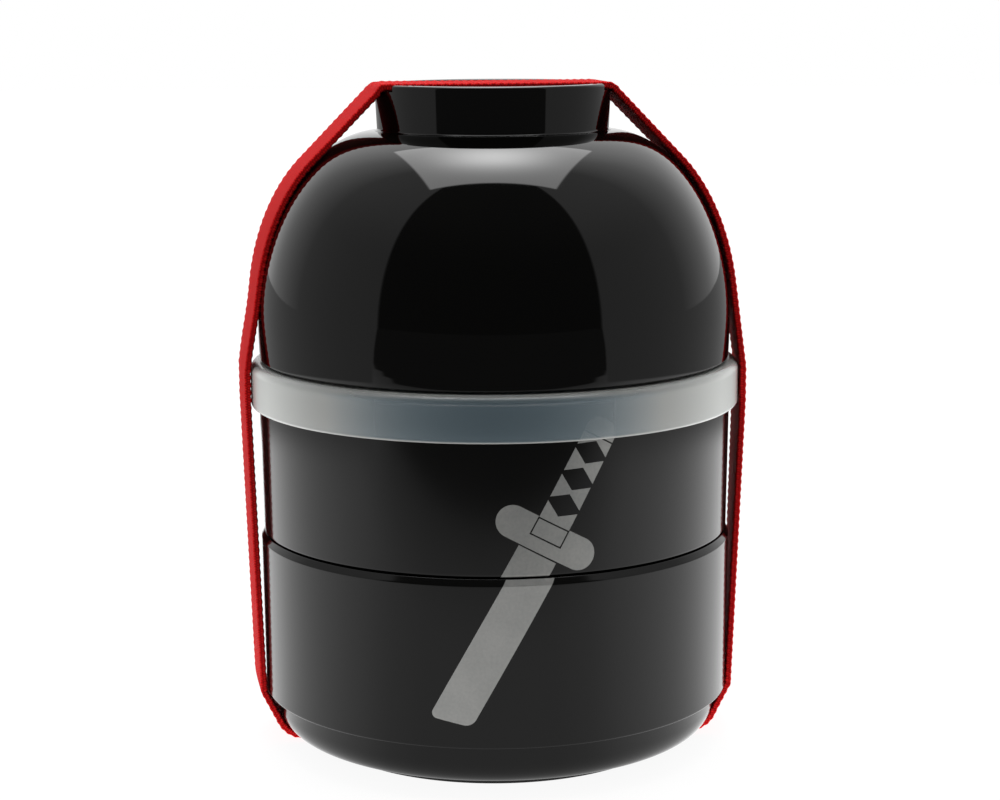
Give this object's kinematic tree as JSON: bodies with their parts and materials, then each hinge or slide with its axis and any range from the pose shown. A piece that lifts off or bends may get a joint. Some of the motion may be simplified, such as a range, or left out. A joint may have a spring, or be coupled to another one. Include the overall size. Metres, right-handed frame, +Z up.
{
  "type": "bento box",
  "caption": "Round lunch box: nesting tiers, a soft seal lid, an upturned bowl as cover and an elastic band round the stack.",
  "frame": {"origin": "centre of the base, on the surface that the foot ring stands on", "axes": "+Z up through the stack, -Y towards the viewer of the picture, +X to the viewer's right; the band's loop lies near the XZ plane"},
  "size_m": [0.1196, 0.1156, 0.1562],
  "materials": {
    "lower_container": "semi-gloss black",
    "upper_container": "semi-gloss black",
    "seal_lid": "soft translucent white",
    "bowl_cover": "high-gloss black",
    "elastic_band": "woven red elastic",
    "band_stitching": "red thread"
  },
  "bodies": {
    "lower_container": {"lower_container": "lower_container"},
    "upper_container": {"upper_container": "upper_container"},
    "lid": {"seal_lid": "seal_lid"},
    "bowl": {"bowl_cover": "bowl_cover"},
    "band": {"elastic_band": "elastic_band", "band_stitching": "band_stitching"}
  },
  "joints": [
    {"name": "upper_container_lift", "type": "slide", "parent": "lower_container", "child": "upper_container", "axis": [0, 0, 1], "range_m": [0, 0.12], "deforming": ["elastic_band"]},
    {"name": "lid_lift", "type": "slide", "parent": "upper_container", "child": "lid", "axis": [0, 0, 1], "range_m": [0, 0.08], "deforming": ["elastic_band"]},
    {"name": "bowl_lift", "type": "slide", "parent": "lid", "child": "bowl", "axis": [0, 0, 1], "range_m": [0, 0.075], "deforming": ["elastic_band"]},
    {"name": "band_release", "type": "slide", "parent": "lower_container", "child": "band", "axis": [0.0471, -0.9989, 0], "range_m": [0, 0.1], "deforming": ["elastic_band", "band_stitching"]}
  ]
}
